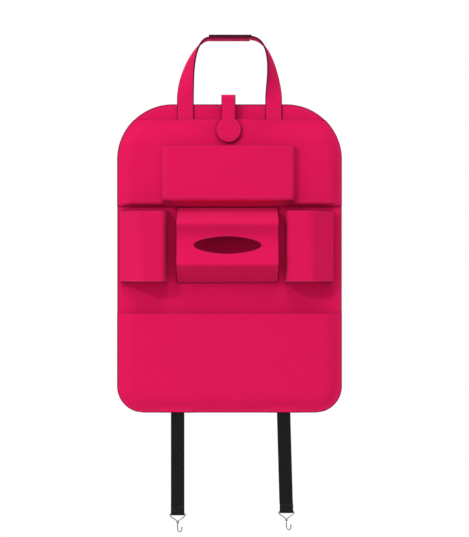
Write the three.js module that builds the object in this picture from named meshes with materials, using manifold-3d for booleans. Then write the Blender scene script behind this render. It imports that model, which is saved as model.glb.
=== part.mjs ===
// Felt organiser that hangs on the back of a car seat.
//
// Units are millimetres, +Z is up, +X is to the right of a person facing the pockets, and the pockets
// face -Y. Heights are worked out from the bottom edge of the back panel. The exported group then lowers
// everything, so that the origin is the underside of the carrying handle, where the organiser hangs, in
// the plane of the panel's back face. "Depth" is the distance in front of that back face.

import * as THREE from 'three';
import { mergeVertices } from 'three/addons/utils/BufferGeometryUtils.js';
import Module from 'manifold-3d';

const wasm = await Module();
wasm.setup();

// ---- Driving dimensions ----------------------------------------------------------------------------

const FELT = 3;
const GAP = 0.3;
const FOLD_POINTS = 5;

const PANEL = { width: 400, height: 549, topRadius: 99, bottomRadius: 47 };

const TABLET_POCKET = { bottom: 368, top: 521, rise: 9, gussetLean: 4, foldRadius: 3, seamWidth: 22 };
const PHONE_POCKET = { left: -119, right: 115, bottom: 374.5, top: 473, rise: 12, gussetLean: 3.5,
  foldRadius: 3, ease: 0.8 };
const MAGAZINE_POCKET = { top: 177, rise: 8, seamMargin: 3, seamWidth: 26, fixedHalfWidth: 140,
  strapBumpHalf: 22, strapBumpFade: 14 };

const BOTTLE_POCKET = {
  bottom: 232,
  top: 359,
  depth: 50,
  innerDepth: 44,
  allowance: 12,
  seamFold: 2.4,
  gussetLean: 1,
  gussetFold: 3.5,
  foldRadius: 7,
  innerSlope: 3,
  floorLift: 3,
  floorEase: 1,
  floorCorner: 6,
  left: { outer: -193, gusset: 10, creaseTop: -161, creaseBottom: -153, inner: -111 },
  right: { outer: 183, gusset: 20, creaseTop: 142, creaseBottom: 146, inner: 100 },
};

const TISSUE_HOLDER = {
  centre: -3.4,
  width: 180,
  seamTop: 365,
  seamBottom: 231,
  seamWidth: 4,
  seamFold: 3,
  foldTop: 336,
  foldBottom: 262.5,
  depth: 56,
  frontSag: 10,
  sagRadius: 20,
  foldRadius: 5,
  slotHeight: 297,
  slotWidth: 117,
  slotTall: 29.5,
  slotReach: 30,
};

const HANDLE = {
  footX: 78.5,
  footBottom: 505,
  width: 30,
  hinge: PANEL.height + 4,
  insideTop: 663.4,
  lapHalf: 36.5,
  upright: { left: 60, right: 34 },
  shoulderIn: { left: 21, right: 0 },
  flatFoot: 0.04,
  twistPower: 2,
  tapeThickness: 1.4,
  tongueTail: 0.02,
  lapStart: 0.996,
};

const TAB = {
  x: -1.8,
  width: 25,
  rootBottom: 500,
  top: 564.5,
  flapDepth: 20.7,
  hingeDrop: 4,
  paddleRadius: 23,
  paddleCentre: 502,
  patchSize: 30,
  patchThickness: 1.5,
};

const STRAP = {
  width: 24,
  thickness: 1.5,
  anchorTop: 24,
  anchorBottom: -0.4,
  hinge: -2.4,
  sewnEnd: 14,
  loopInner: 1.4,
  left: { x: -92.3, lean: 0, length: 183 },
  right: { x: 96.3, lean: 5, length: 179 },
};

const HOOK = {
  wireRadius: 0.9,
  halfWidth: 13.4,
  shoulder: 4,
  neck: 13,
  shankEnd: 26.5,
  throatRadius: 5,
  tipRise: 3,
  ballRadius: 1.4,
  turn: THREE.MathUtils.degToRad(40),
};

// ---- Materials -------------------------------------------------------------------------------------

const COLOURS = {
  felt: { color: 0xe11a5c, roughness: 0.95, metalness: 0 },
  tape: { color: 0x6e0a2c, roughness: 0.9, metalness: 0 },
  elastic: { color: 0x1c1c1c, roughness: 0.8, metalness: 0 },
  wire: { color: 0x9a9a9c, roughness: 0.3, metalness: 1 },
};

const object = new THREE.Group();
object.position.z = -HANDLE.insideTop;

function addPart(name, geometry, finish) {
  const mesh = new THREE.Mesh(geometry, new THREE.MeshStandardMaterial(COLOURS[finish]));
  mesh.name = name;
  object.add(mesh);
  return mesh;
}

// ---- Shape helpers ---------------------------------------------------------------------------------

// A point from its place across, its depth in front of the back face, and its height.
function at(x, depth, z) {
  return new THREE.Vector3(x, -depth, z);
}

function smooth(t) {
  return THREE.MathUtils.smoothstep(t, 0, 1);
}

function range(count, valueAt) {
  return Array.from({ length: count + 1 }, (_, i) => valueAt(i / count));
}

function signedVolume(positions, triangles) {
  const corner = (i) => new THREE.Vector3().fromArray(positions, triangles[i] * 3);
  let volume = 0;
  for (let i = 0; i < triangles.length; i += 3) {
    volume += corner(i).dot(corner(i + 1).cross(corner(i + 2))) / 6;
  }
  return volume;
}

// A closed sheet of even thickness around a grid of points: grid[i][j] is a point of its middle surface.
function sheetGeometry(grid, thickness) {
  const rows = grid.length;
  const columns = grid[0].length;
  const positions = [];
  for (const side of [1, -1]) {
    for (let i = 0; i < rows; i++) {
      for (let j = 0; j < columns; j++) {
        const along = grid[Math.min(i + 1, rows - 1)][j].clone().sub(grid[Math.max(i - 1, 0)][j]);
        const across = grid[i][Math.min(j + 1, columns - 1)].clone().sub(grid[i][Math.max(j - 1, 0)]);
        const normal = along.cross(across).normalize();
        positions.push(...grid[i][j].clone().addScaledVector(normal, (side * thickness) / 2).toArray());
      }
    }
  }
  const index = (side, i, j) => side * rows * columns + i * columns + j;
  const triangles = [];
  const quad = (a, b, c, d) => triangles.push(a, b, c, a, c, d);
  for (let i = 0; i < rows - 1; i++) {
    for (let j = 0; j < columns - 1; j++) {
      quad(index(0, i, j), index(0, i + 1, j), index(0, i + 1, j + 1), index(0, i, j + 1));
      quad(index(1, i, j), index(1, i, j + 1), index(1, i + 1, j + 1), index(1, i + 1, j));
    }
  }
  for (let i = 0; i < rows - 1; i++) {
    quad(index(0, i, 0), index(1, i, 0), index(1, i + 1, 0), index(0, i + 1, 0));
    const j = columns - 1;
    quad(index(0, i + 1, j), index(1, i + 1, j), index(1, i, j), index(0, i, j));
  }
  for (let j = 0; j < columns - 1; j++) {
    quad(index(0, 0, j + 1), index(1, 0, j + 1), index(1, 0, j), index(0, 0, j));
    quad(index(0, rows - 1, j), index(1, rows - 1, j), index(1, rows - 1, j + 1), index(0, rows - 1, j + 1));
  }
  if (signedVolume(positions, triangles) < 0) triangles.reverse();
  const geometry = new THREE.BufferGeometry();
  geometry.setAttribute('position', new THREE.Float32BufferAttribute(positions, 3));
  geometry.setIndex(triangles);
  return geometry;
}

// A folded strip's profile: straight runs between corners, each corner rounded by its own radius.
function foldedProfile(corners) {
  const points = [new THREE.Vector2(corners[0][0], corners[0][1])];
  for (let i = 1; i < corners.length - 1; i++) {
    const [before, corner, after] = corners.slice(i - 1, i + 2).map(([u, v]) => new THREE.Vector2(u, v));
    const start = corner.clone().add(before.sub(corner).setLength(corners[i][2]));
    const end = corner.clone().add(after.sub(corner).setLength(corners[i][2]));
    points.push(...new THREE.QuadraticBezierCurve(start, corner, end).getPoints(FOLD_POINTS));
  }
  const last = corners[corners.length - 1];
  points.push(new THREE.Vector2(last[0], last[1]));
  return points;
}

function toManifold(geometry) {
  const bare = geometry.clone();
  bare.deleteAttribute('normal');
  bare.deleteAttribute('uv');
  const merged = mergeVertices(bare);
  return new wasm.Manifold(new wasm.Mesh({
    numProp: 3,
    vertProperties: new Float32Array(merged.attributes.position.array),
    triVerts: new Uint32Array(merged.index.array),
  }));
}

function toGeometry(manifold) {
  const mesh = manifold.getMesh();
  const geometry = new THREE.BufferGeometry();
  geometry.setAttribute('position', new THREE.BufferAttribute(mesh.vertProperties, 3));
  geometry.setIndex(new THREE.BufferAttribute(mesh.triVerts, 1));
  return geometry;
}

// ---- Back panel ------------------------------------------------------------------------------------

function halfWidthAt(z) {
  const intoBottom = PANEL.bottomRadius - z;
  const intoTop = z - (PANEL.height - PANEL.topRadius);
  if (intoBottom > 0) {
    return PANEL.width / 2 - PANEL.bottomRadius + Math.sqrt(PANEL.bottomRadius ** 2 - intoBottom ** 2);
  }
  if (intoTop > 0) {
    return PANEL.width / 2 - PANEL.topRadius + Math.sqrt(PANEL.topRadius ** 2 - intoTop ** 2);
  }
  return PANEL.width / 2;
}

function addBackPanel() {
  const half = PANEL.width / 2;
  const low = PANEL.bottomRadius;
  const high = PANEL.height - PANEL.topRadius;
  const shape = new THREE.Shape();
  shape.moveTo(-half + low, 0);
  shape.lineTo(half - low, 0);
  shape.absarc(half - low, low, low, -Math.PI / 2, 0);
  shape.lineTo(half, high);
  shape.absarc(half - PANEL.topRadius, high, PANEL.topRadius, 0, Math.PI / 2);
  shape.lineTo(-half + PANEL.topRadius, PANEL.height);
  shape.absarc(-half + PANEL.topRadius, high, PANEL.topRadius, Math.PI / 2, Math.PI);
  shape.lineTo(-half, low);
  shape.absarc(-half + low, low, low, Math.PI, 1.5 * Math.PI);
  const geometry = new THREE.ExtrudeGeometry(shape, { depth: FELT, bevelEnabled: false, curveSegments: 14 });
  addPart('back_panel', geometry, 'felt').rotation.x = Math.PI / 2;
}

// ---- Flat pockets ----------------------------------------------------------------------------------

const SEWN_DEPTH = FELT + GAP + FELT / 2;

// Middle surface of the tablet pocket's front above its low bottom gusset: sewn down along its sides.
function tabletDepth(x, z) {
  const side = smooth((halfWidthAt(z) - Math.abs(x)) / TABLET_POCKET.seamWidth);
  return SEWN_DEPTH + TABLET_POCKET.rise * side;
}

function addTabletPocket() {
  const { bottom, top, rise, gussetLean, foldRadius } = TABLET_POCKET;
  const straightTop = PANEL.height - PANEL.topRadius;
  const reach = Math.asin((top - straightTop) / PANEL.topRadius);
  const folded = foldedProfile([[0, bottom], [rise, bottom + gussetLean, foldRadius], [rise, straightTop]]);
  const profile = [
    ...folded,
    ...range(6, (t) => new THREE.Vector2(rise, straightTop + PANEL.topRadius * Math.sin(reach * t))).slice(1),
  ];
  const grid = profile.map((p) => range(22, (u) => {
    const x = halfWidthAt(p.y) * Math.sin((u - 0.5) * Math.PI);
    const lift = (tabletDepth(x, p.y) - SEWN_DEPTH) / rise;
    return at(x, SEWN_DEPTH + p.x * lift, p.y);
  }));
  addPart('tablet_pocket_front', sheetGeometry(grid, FELT), 'felt');
}

// The phone pocket stands off the tablet pocket like a shallow tray, on gussets at its sides and bottom.
function addPhonePocket() {
  const { left, right, bottom, top, rise, gussetLean, foldRadius, ease } = PHONE_POCKET;
  const across = foldedProfile([
    [left, 0], [left + gussetLean, rise, foldRadius], [right - gussetLean, rise, foldRadius], [right, 0],
  ]);
  const upward = foldedProfile([[bottom, 0], [bottom + gussetLean, rise, foldRadius], [top, rise]]);
  const grid = upward.map((v) => across.map((u) => {
    const base = tabletDepth(u.x, v.x) + FELT + GAP + ease;
    return at(u.x, base + (u.y * v.y) / rise, v.x);
  }));
  addPart('phone_pocket_front', sheetGeometry(grid, FELT), 'felt');
}

// The magazine pocket lies over the sewn ends of the two elastic straps, so it bulges where they are.
function magazineDepth(x, z) {
  const { rise, seamMargin, seamWidth, strapBumpHalf, strapBumpFade } = MAGAZINE_POCKET;
  const side = smooth((halfWidthAt(z) - Math.abs(x)) / seamWidth);
  const bottom = smooth((z - seamMargin) / seamWidth);
  const overStrap = [STRAP.left.x, STRAP.right.x]
    .map((strap) => 1 - smooth((Math.abs(x - strap) - strapBumpHalf) / strapBumpFade))
    .reduce((a, b) => Math.max(a, b));
  const bulge = Math.max((STRAP.thickness + 2 * GAP) * overStrap, rise * side * bottom);
  return SEWN_DEPTH + bulge;
}

function addMagazinePocket() {
  const { top, fixedHalfWidth } = MAGAZINE_POCKET;
  const heights = [
    ...range(6, (t) => PANEL.bottomRadius * (1 - Math.cos((t * Math.PI) / 2))),
    ...range(4, (t) => THREE.MathUtils.lerp(PANEL.bottomRadius, top, t)).slice(1),
  ];
  const grid = heights.map((z) => range(40, (u) => {
    const even = (u - 0.5) * PANEL.width;
    const beyond = (Math.abs(even) - fixedHalfWidth) / (PANEL.width / 2 - fixedHalfWidth);
    const outer = Math.sign(even) * THREE.MathUtils.lerp(fixedHalfWidth, halfWidthAt(z), beyond);
    const x = beyond > 0 ? outer : even;
    return at(x, magazineDepth(x, z), z);
  }));
  addPart('magazine_pocket_front', sheetGeometry(grid, FELT), 'felt');
}

// ---- Bottle pockets --------------------------------------------------------------------------------

// Plan of a bottle pocket's wall: a seam allowance turned in, a low gusset, a slanted side, a front that
// falls away towards the middle of the panel, and a steep inner side.
function bottlePlan(side, crease) {
  const { outer, gusset, inner } = BOTTLE_POCKET[side];
  const inward = Math.sign(inner - outer);
  const { depth, innerDepth, allowance, innerSlope } = BOTTLE_POCKET;
  const { seamFold, gussetLean, gussetFold, foldRadius } = BOTTLE_POCKET;
  return foldedProfile([
    [outer + inward * allowance, SEWN_DEPTH],
    [outer + inward * gussetLean, SEWN_DEPTH, seamFold],
    [outer, gusset, gussetFold],
    [crease, depth - FELT / 2, foldRadius],
    [inner - inward * innerSlope, innerDepth - FELT / 2, foldRadius],
    [inner, FELT + GAP],
  ]);
}

function addBottlePocket(side) {
  const { bottom, top, creaseTop, creaseBottom } = { ...BOTTLE_POCKET, ...BOTTLE_POCKET[side] };
  const planAt = (v) => bottlePlan(side, THREE.MathUtils.lerp(creaseBottom, creaseTop, v));
  const grid = range(4, (v) => planAt(v).map((p) => at(p.x, p.y, THREE.MathUtils.lerp(bottom, top, v))));
  addPart(`bottle_pocket_${side}`, sheetGeometry(grid, FELT), 'felt');
}

// The floor fills the plan of the wall at its lower end, a little inside it and in front of its allowance.
function addBottleFloor(side) {
  const { outer, gusset, creaseBottom, inner } = BOTTLE_POCKET[side];
  const { depth, innerDepth, allowance, gussetLean, innerSlope } = BOTTLE_POCKET;
  const { bottom, floorLift, floorEase, floorCorner } = BOTTLE_POCKET;
  const inward = Math.sign(inner - outer);
  const inside = FELT + GAP;
  const lip = outer + inward * (allowance + floorEase);
  const gussetFace = outer + inward * (gussetLean + inside);
  const innerFront = inner - inward * (inside + innerSlope / 2 + floorEase);
  const shape = new THREE.Shape([
    new THREE.Vector2(lip, inside),
    new THREE.Vector2(lip, 2 * inside + floorEase),
    new THREE.Vector2(gussetFace, 2 * inside + floorEase),
    new THREE.Vector2(gussetFace, gusset),
    new THREE.Vector2(creaseBottom + inward * (inside + floorEase), depth - inside - floorEase),
    new THREE.Vector2(innerFront - inward * floorCorner, innerDepth - inside),
    new THREE.Vector2(innerFront, innerDepth - inside - floorCorner),
    new THREE.Vector2(inner - inward * inside, inside),
  ]);
  const geometry = new THREE.ExtrudeGeometry(shape, { depth: FELT, bevelEnabled: false });
  const floor = addPart(`bottle_floor_${side}`, geometry, 'felt');
  floor.rotation.x = Math.PI;
  floor.position.z = bottom + floorLift + FELT;
}

// ---- Tissue holder ---------------------------------------------------------------------------------

function addTissueHolder() {
  const t = TISSUE_HOLDER;
  const middle = (t.foldTop + t.foldBottom) / 2;
  const profile = foldedProfile([
    [SEWN_DEPTH, t.seamTop],
    [SEWN_DEPTH, t.seamTop - t.seamWidth, t.seamFold],
    [t.depth, t.foldTop, t.foldRadius],
    [t.depth - t.frontSag, middle, t.sagRadius],
    [t.depth, t.foldBottom, t.foldRadius],
    [SEWN_DEPTH, t.seamBottom + t.seamWidth, t.seamFold],
    [SEWN_DEPTH, t.seamBottom],
  ]);
  const grid = profile.map((p) => [-0.5, 0, 0.5].map((u) => at(t.centre + u * t.width, p.x, p.y)));
  const slot = new THREE.Shape();
  slot.absellipse(t.centre, t.slotHeight, t.slotWidth / 2, t.slotTall / 2, 0, 2 * Math.PI);
  const cut = { depth: t.slotReach, bevelEnabled: false, curveSegments: 16 };
  const cutter = new THREE.ExtrudeGeometry(slot, cut);
  cutter.rotateX(Math.PI / 2);
  cutter.translate(0, t.slotReach / 2 - t.depth, 0);
  const slotted = toManifold(sheetGeometry(grid, FELT)).subtract(toManifold(cutter));
  addPart('tissue_holder', toGeometry(slotted), 'felt');
}

// ---- Carrying handle -------------------------------------------------------------------------------

// Middle line of one half of the handle, from its hinge line to the middle of the top.
function handleCurve(side, topHeight) {
  const x = (value) => (side === 'left' ? -value : value);
  return new THREE.CubicBezierCurve3(
    at(x(HANDLE.footX), SEWN_DEPTH, HANDLE.hinge),
    at(x(HANDLE.footX), SEWN_DEPTH, HANDLE.hinge + HANDLE.upright[side]),
    at(x(HANDLE.footX - HANDLE.shoulderIn[side]), SEWN_DEPTH, topHeight),
    at(x(HANDLE.lapHalf), SEWN_DEPTH, topHeight),
  );
}

// Stations along a half: the strap faces forward, flat for a short way above its sewn foot, and has
// turned a quarter by its top.
function handleStations(side, topHeight, from, to, count, offset = 0) {
  const curve = handleCurve(side, topHeight);
  const outward = side === 'left' ? -1 : 1;
  return range(count, (s) => {
    const t = THREE.MathUtils.lerp(from, to, s);
    const twisted = Math.max(0, (t - HANDLE.flatFoot) / (1 - HANDLE.flatFoot));
    const turn = (Math.PI / 2) * (1 - (1 - twisted) ** HANDLE.twistPower);
    const tangent = curve.getTangent(t);
    const away = new THREE.Vector3(tangent.z, 0, -tangent.x).multiplyScalar(outward);
    const width = away.clone().multiplyScalar(Math.cos(turn)).add(new THREE.Vector3(0, Math.sin(turn), 0));
    return { centre: curve.getPoint(t).addScaledVector(away, offset), width };
  });
}

function ribbonGeometry(stations, thickness) {
  const grid = stations.map(({ centre, width }) => [-0.5, 0.5].map(
    (u) => centre.clone().addScaledVector(width, u * HANDLE.width),
  ));
  return sheetGeometry(grid, thickness);
}

function flatStations(fromX, toX, height) {
  const width = new THREE.Vector3(0, 1, 0);
  return [fromX, toX].map((x) => ({ centre: at(x, SEWN_DEPTH, height), width }));
}

function addHandle() {
  const { lapHalf, tapeThickness, insideTop } = HANDLE;
  const leftTop = insideTop + FELT / 2;
  const loopTape = insideTop + FELT + GAP + tapeThickness / 2;
  const hookTape = loopTape + tapeThickness + GAP;
  const rightTop = hookTape - tapeThickness / 2 - GAP - FELT / 2;
  for (const side of ['left', 'right']) {
    const x = side === 'left' ? -HANDLE.footX : HANDLE.footX;
    const grid = [HANDLE.footBottom, PANEL.height].map((z) => [-0.5, 0.5].map(
      (u) => at(x + u * HANDLE.width, SEWN_DEPTH, z),
    ));
    addPart(`handle_foot_${side}`, sheetGeometry(grid, FELT), 'felt');
  }
  const left = [
    ...handleStations('left', leftTop, 0, 1, 20),
    ...flatStations(-lapHalf, lapHalf, leftTop).slice(1),
  ];
  addPart('handle_strap_left', ribbonGeometry(left, FELT), 'felt');
  const right = handleStations('right', rightTop, 0, HANDLE.lapStart, 20);
  addPart('handle_strap_right', ribbonGeometry(right, FELT), 'felt');
  const laid = flatStations(-lapHalf, lapHalf, loopTape);
  addPart('handle_loop_tape', ribbonGeometry(laid, tapeThickness), 'tape');
  const seat = FELT / 2 + GAP + tapeThickness / 2;
  const tongue = [
    flatStations(-lapHalf, lapHalf, hookTape)[0],
    ...handleStations('right', rightTop, 1 - HANDLE.tongueTail, 1, 6, seat).reverse(),
  ];
  addPart('handle_hook_tape', ribbonGeometry(tongue, tapeThickness), 'tape');
}

// ---- Closing tab -----------------------------------------------------------------------------------

function tabStrip(name, profile, thickness) {
  const grid = profile.map((p) => [-0.5, 0.5].map((u) => at(TAB.x + u * TAB.width, p.x, p.y)));
  return addPart(name, sheetGeometry(grid, thickness), 'felt');
}

function squarePatch(name, depth) {
  const half = TAB.patchSize / 2;
  const geometry = new THREE.BoxGeometry(2 * half, TAB.patchThickness, 2 * half);
  const patch = addPart(name, geometry, 'tape');
  patch.position.copy(at(TAB.x, depth, TAB.paddleCentre));
}

function addTab() {
  const loopRadius = (TAB.flapDepth - SEWN_DEPTH) / 2;
  const loopDepth = SEWN_DEPTH + loopRadius;
  const loopHeight = TAB.top - FELT / 2 - loopRadius;
  const loop = new THREE.EllipseCurve(loopDepth, loopHeight, loopRadius, loopRadius, Math.PI, 0, true);
  tabStrip('tab_anchor', [new THREE.Vector2(SEWN_DEPTH, TAB.rootBottom), ...loop.getPoints(12)], FELT);

  const hinge = loopHeight - TAB.hingeDrop;
  const shoulder = Math.asin(TAB.width / 2 / TAB.paddleRadius);
  const outline = new THREE.Shape();
  outline.moveTo(TAB.x - TAB.width / 2, hinge);
  outline.absarc(
    TAB.x, TAB.paddleCentre, TAB.paddleRadius, Math.PI / 2 + shoulder, 2.5 * Math.PI - shoulder,
  );
  outline.lineTo(TAB.x + TAB.width / 2, hinge);
  const cut = { depth: FELT, bevelEnabled: false, curveSegments: 32 };
  const geometry = new THREE.ExtrudeGeometry(outline, cut);
  const flap = addPart('tab_flap', geometry, 'felt');
  flap.rotation.x = Math.PI / 2;
  flap.position.y = -(TAB.flapDepth - FELT / 2);

  const flapBack = TAB.flapDepth - FELT / 2;
  squarePatch('tab_hook_patch', flapBack - GAP - TAB.patchThickness / 2);
  const pocketFront = tabletDepth(TAB.x, TAB.paddleCentre) + FELT / 2;
  squarePatch('tab_loop_patch', pocketFront + GAP + TAB.patchThickness / 2);
}

// ---- Elastic straps and wire hooks -----------------------------------------------------------------

const STRAP_DEPTH = FELT + GAP + STRAP.thickness / 2;

function strapRun(name, side, top, bottom) {
  const { x, lean, length } = STRAP[side];
  const grid = [top, bottom].map((z) => {
    const centre = x + (lean * Math.max(0, -z)) / length;
    return [-0.5, 0.5].map((u) => at(centre + u * STRAP.width, STRAP_DEPTH, z));
  });
  return addPart(name, sheetGeometry(grid, STRAP.thickness), 'elastic');
}

function addElasticStrap(side) {
  const { x, lean, length } = STRAP[side];
  const loopOuter = STRAP.loopInner + STRAP.thickness;
  const loopHeight = loopOuter - length;
  strapRun(`strap_anchor_${side}`, side, STRAP.anchorTop, STRAP.anchorBottom);
  strapRun(`elastic_strap_${side}`, side, STRAP.hinge, loopHeight + STRAP.sewnEnd + GAP);

  const half = STRAP.thickness;
  const meet = Math.asin(half / loopOuter);
  const outline = new THREE.Shape();
  outline.moveTo(-half, STRAP.sewnEnd);
  outline.absarc(0, 0, loopOuter, Math.PI / 2 + meet, Math.PI / 2 - meet + 2 * Math.PI);
  outline.lineTo(half, STRAP.sewnEnd);
  const eye = new THREE.Path();
  eye.absarc(0, 0, STRAP.loopInner, 0, 2 * Math.PI, true);
  outline.holes.push(eye);
  const across = { depth: STRAP.width, bevelEnabled: false, curveSegments: 10 };
  const geometry = new THREE.ExtrudeGeometry(outline, across);
  geometry.translate(0, 0, -STRAP.width / 2);
  geometry.applyMatrix4(new THREE.Matrix4().makeBasis(
    new THREE.Vector3(0, -1, 0),
    new THREE.Vector3(0, 0, 1),
    new THREE.Vector3(-1, 0, 0),
  ));
  const end = addPart(`strap_end_${side}`, geometry, 'elastic');
  end.position.copy(at(x + lean, STRAP_DEPTH, loopHeight));
  addWireHook(side, end.position);
}

function sweep(curve, steps) {
  const section = new THREE.Shape();
  section.absarc(0, 0, HOOK.wireRadius, 0, 2 * Math.PI);
  const route = { extrudePath: curve, steps, curveSegments: 4, bevelEnabled: false };
  return new THREE.ExtrudeGeometry(section, route);
}

// A wire triangle whose top bar runs through the strap's sewn loop, with a hook hanging from its neck.
function addWireHook(side, place) {
  const legGap = HOOK.wireRadius - 0.1;
  const loop = new THREE.CurvePath();
  const corners = [
    [-legGap, -HOOK.neck - 3, 0],
    [-legGap, -HOOK.neck, 1.5],
    [-HOOK.halfWidth, -HOOK.shoulder, 2],
    [-HOOK.halfWidth, 0, 2],
    [HOOK.halfWidth, 0, 2],
    [HOOK.halfWidth, -HOOK.shoulder, 2],
    [legGap, -HOOK.neck, 1.5],
    [legGap, -HOOK.neck - 3, 0],
  ];
  const points = foldedProfile(corners).map((p) => new THREE.Vector3(p.x, 0, p.y));
  for (let i = 0; i < points.length - 1; i++) loop.add(new THREE.LineCurve3(points[i], points[i + 1]));

  const across = new THREE.Vector3(Math.cos(HOOK.turn), -Math.sin(HOOK.turn), 0);
  const hookPoint = (out, z) => across.clone().multiplyScalar(out).setZ(z);
  const throat = range(10, (t) => hookPoint(
    HOOK.throatRadius * (1 - Math.cos(Math.PI * t)),
    -HOOK.shankEnd - HOOK.throatRadius * Math.sin(Math.PI * t),
  ));
  const tip = hookPoint(2 * HOOK.throatRadius, HOOK.tipRise - HOOK.shankEnd);
  const hook = new THREE.CurvePath();
  const route = [hookPoint(0, -HOOK.neck), ...throat, tip];
  for (let i = 0; i < route.length - 1; i++) hook.add(new THREE.LineCurve3(route[i], route[i + 1]));
  const ball = new THREE.SphereGeometry(HOOK.ballRadius, 8, 6);
  ball.translate(tip.x, tip.y, tip.z);
  const whole = toManifold(sweep(loop, 48)).add(toManifold(sweep(hook, 22))).add(toManifold(ball));
  addPart(`wire_hook_${side}`, toGeometry(whole), 'wire').position.copy(place);
}

// ---- The whole organiser ---------------------------------------------------------------------------

addBackPanel();
addTabletPocket();
addPhonePocket();
addMagazinePocket();
addTissueHolder();
addHandle();
addTab();
for (const side of ['left', 'right']) {
  addBottlePocket(side);
  addBottleFloor(side);
  addElasticStrap(side);
}

export default object;
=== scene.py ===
"""Looks of a felt organiser for the back of a car seat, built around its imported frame.

Metres, in the frame's own axes. "Height" is above the lower edge of the back panel and "depth" is in
front of the panel's back face, so place() turns (x, depth, height) into the frame's coordinates.
Among the dimensions, a pair is where a soft step starts and how wide it is, and a wave is its height,
the seed of its random draw and its length.
"""

import math

import bpy
import numpy as np
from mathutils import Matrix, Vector


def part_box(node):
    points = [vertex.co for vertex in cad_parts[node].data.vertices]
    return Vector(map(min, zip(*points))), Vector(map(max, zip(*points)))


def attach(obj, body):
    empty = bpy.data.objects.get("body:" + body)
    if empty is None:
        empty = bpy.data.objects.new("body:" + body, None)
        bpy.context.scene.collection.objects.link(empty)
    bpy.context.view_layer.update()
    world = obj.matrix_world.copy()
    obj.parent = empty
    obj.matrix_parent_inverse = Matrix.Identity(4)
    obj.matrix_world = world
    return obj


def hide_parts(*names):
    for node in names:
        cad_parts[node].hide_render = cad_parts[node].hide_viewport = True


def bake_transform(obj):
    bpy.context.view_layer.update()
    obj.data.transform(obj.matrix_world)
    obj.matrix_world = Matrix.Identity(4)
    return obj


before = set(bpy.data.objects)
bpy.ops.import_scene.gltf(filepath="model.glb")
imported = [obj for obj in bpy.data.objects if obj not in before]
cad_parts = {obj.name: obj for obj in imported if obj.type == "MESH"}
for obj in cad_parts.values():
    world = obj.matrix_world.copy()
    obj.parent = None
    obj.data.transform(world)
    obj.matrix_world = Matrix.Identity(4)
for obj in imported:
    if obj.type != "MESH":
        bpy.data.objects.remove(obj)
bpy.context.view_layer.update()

# ---- Driving dimensions ----

PANEL_LOW, PANEL_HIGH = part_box("back_panel")
BOTTOM = PANEL_LOW.z
HEIGHT = PANEL_HIGH.z - PANEL_LOW.z
HALF = PANEL_HIGH.x
TOP_RADIUS = 0.099
BOTTOM_RADIUS = 0.047

FELT = PANEL_HIGH.y - PANEL_LOW.y
GAP = 0.0003
SEWN = 1.5 * FELT + GAP
# How far in a cut edge is rounded, and how near the panel's outline an edge counts as its rim.
EDGE_ROUND = 0.0014
TAB_ROUND = 0.0012
TAPE_ROUND = 0.0005
ELASTIC_ROUND = 0.0004
RIM = 0.002

# The seam's distance from an edge, how the felt is drawn together along it, and its stitches.
SEAM = 0.0055
PINCH = 0.25
PINCH_WIDTH = 0.0016
STITCH = 0.0033
STITCH_PITCH = 0.0044
THREAD = 0.00085
# How far inside the edges of its piece each line of stitches runs.
INSET = {"pocket": 0.0075, "pocket_end": 0.012, "mouth": 0.003, "seam": 0.002, "gusset": 0.006,
         "foot": 0.004, "foot_top": 0.008, "patch": 0.002, "lap": 0.003, "webbing": 0.003}

TABLET = {"bottom": 0.368, "top": 0.521, "rise": 0.009, "side": (RIM, 0.022), "gusset": 0.0064,
          "gusset_power": 2.4, "slack_above": (0.40, 0.08), "slack_inside": (0.01, 0.05),
          "beside_phone": (0.125, 0.02), "above_phone": (0.482, 0.02), "beside_tab": (0.035, 0.06),
          "closing_above": (0.478, 0.04), "closing": 0.75, "wave": (0.0009, 3, 0.11)}
PHONE = {"left": -0.119, "right": 0.115, "bottom": 0.3745, "top": 0.473, "rise": 0.012,
         "lean": 0.0035, "fold": 0.003, "ease": 0.0008, "bow": 0.0012, "free": (0.9, 0.1),
         "slack_above": (0.40, 0.05), "wave": (0.0006, 21, 0.09)}
MAGAZINE = {"top": 0.177, "rise": 0.008, "side": (0.003, 0.026), "beside_strap": (0.022, 0.014),
            "slack_above": (0.03, 0.08), "wave": (0.0011, 8, 0.14)}
BOTTLE = {"bottom": 0.232, "top": 0.359, "depth": 0.050, "inner_depth": 0.044, "allowance": 0.012,
          "seam_fold": 0.0024, "gusset_lean": 0.001, "gusset_fold": 0.0035, "fold": 0.007,
          "inner_slope": 0.003, "dish": 0.0016, "floor_lift": 0.003, "floor_ease": 0.001,
          "floor_corner": 0.006}
BOTTLE_SIDES = {
    "left": {"inward": 1.0, "outer": -0.193, "gusset": 0.010, "crease_top": -0.161,
             "crease_bottom": -0.153, "inner": -0.111, "wave": (0.0007, 31, 0.07)},
    "right": {"inward": -1.0, "outer": 0.183, "gusset": 0.020, "crease_top": 0.142,
              "crease_bottom": 0.146, "inner": 0.100, "wave": (0.0007, 37, 0.07)},
}
TISSUE = {"centre": -0.0034, "width": 0.180, "seam_top": 0.365, "seam_bottom": 0.231,
          "seam_width": 0.004, "seam_fold": 0.003, "fold_top": 0.336, "fold_bottom": 0.2625,
          "depth": 0.056, "sag": 0.010, "fold": 0.005, "slot_height": 0.297, "slot_width": 0.117,
          "slot_tall": 0.0295, "slot_point": 1.14, "slot_frame": 0.026, "off_seam": (SEWN, 0.02),
          "wave": (0.0007, 12, 0.08)}
HANDLE = {"foot_x": 0.0785, "foot_bottom": 0.505, "width": 0.030, "hinge": HEIGHT + 0.004,
          "inside_top": -BOTTOM, "lap_half": 0.0365, "upright": {"left": 0.060, "right": 0.034},
          "shoulder_in": {"left": 0.021, "right": 0.0}, "flat_foot": 0.04, "twist_power": 2.0,
          "tape": 0.0014, "tongue_tail": 0.02, "lap_start": 0.996}
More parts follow.
